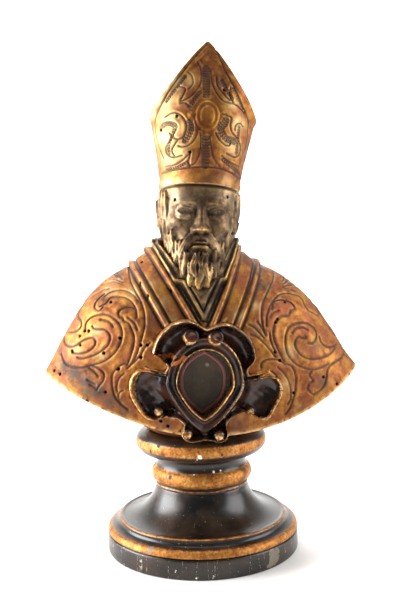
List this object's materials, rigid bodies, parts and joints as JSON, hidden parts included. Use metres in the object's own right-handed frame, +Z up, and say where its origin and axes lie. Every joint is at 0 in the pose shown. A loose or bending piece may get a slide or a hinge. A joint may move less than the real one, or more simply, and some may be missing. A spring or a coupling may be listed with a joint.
{
  "type": "reliquary bust",
  "caption": "Carved bust of a mitred bishop in a cope, with a framed window for a relic in the chest, on a turned round plinth.",
  "frame": {"origin": "centre of the plinth's flat underside", "axes": "+Z up, the figure looks along -Y, +X to the viewer's right"},
  "size_m": [0.2669, 0.164, 0.4251],
  "materials": {
    "gilt_wood": "worn gilding over carved wood, face and hair in tarnished silver leaf",
    "ebonised_wood": "ebonised and waxed, with gilt rings",
    "dark_frame_wood": "dark stained wood with worn gilt edges",
    "relic_cloth": "dull dark cloth",
    "silk_cord": "faded red silk",
    "pane": "thin clear pane"
  },
  "bodies": {
    "root": {"bust": "gilt_wood", "plinth": "ebonised_wood", "relic_frame": "dark_frame_wood", "relic_pad": "relic_cloth", "relic_cord": "silk_cord", "relic_glass": "pane"}
  },
  "joints": []
}
